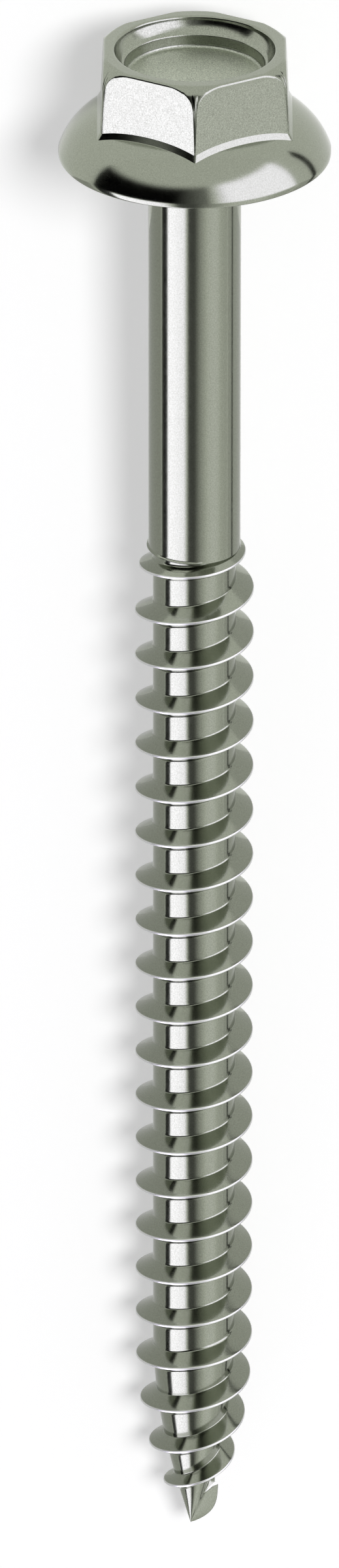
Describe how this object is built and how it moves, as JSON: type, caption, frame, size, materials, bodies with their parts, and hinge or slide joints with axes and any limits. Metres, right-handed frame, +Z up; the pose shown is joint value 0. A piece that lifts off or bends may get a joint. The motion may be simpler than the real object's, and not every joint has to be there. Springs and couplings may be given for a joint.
{
  "type": "self-tapping screw",
  "caption": "Self-tapping screw with a hexagon flange head, a plain shank and a coarse single-start thread that runs to a sharp gimlet point.",
  "frame": {"origin": "on the ground under the middle of the lying screw", "axes": "+X towards the head, +Z up. The axis of the screw lies in the XZ plane and rises towards the head by 3.2 degrees, because the flange rim and a thread crest rest on the ground."},
  "size_m": [0.0868, 0.0141, 0.0141],
  "materials": {
    "screw": "satin, a zinc-coated steel with a faint green cast"
  },
  "bodies": {
    "root": {"screw": "screw"}
  },
  "joints": []
}
